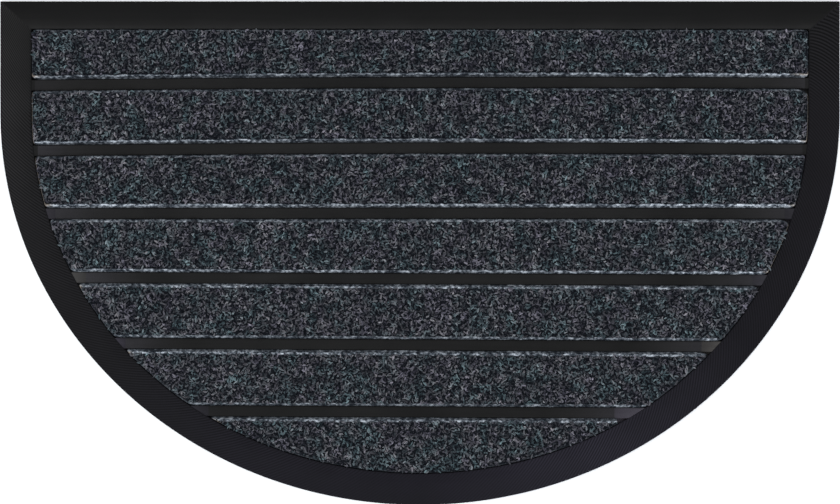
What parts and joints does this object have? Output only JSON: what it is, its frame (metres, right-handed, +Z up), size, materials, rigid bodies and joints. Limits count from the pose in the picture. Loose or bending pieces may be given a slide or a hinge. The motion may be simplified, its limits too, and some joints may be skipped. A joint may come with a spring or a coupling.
{
  "type": "half round doormat",
  "caption": "Flat half round doormat: a moulded rubber base with a bevelled border and drainage channels, holding straight strips of needled felt that scrape shoes dry.",
  "frame": {"origin": "middle of the mat's bounding box, on the flat underside that rests on the floor", "axes": "+X across the mat along its straight back edge, +Y towards the straight back edge, +Z up"},
  "size_m": [0.75, 0.45, 0.008],
  "materials": {
    "rubber": "matt moulded black rubber, the sides and the curve finely embossed, the back border and the channels smooth",
    "felt": "needled felt of mixed dark grey, blue-grey and light grey fibres, pressed and glazed along its edges"
  },
  "bodies": {
    "root": {"rubber_base": "rubber", "felt_strip_1": "felt", "felt_strip_2": "felt", "felt_strip_3": "felt", "felt_strip_4": "felt", "felt_strip_5": "felt", "felt_strip_6": "felt", "felt_strip_7": "felt"}
  },
  "joints": []
}
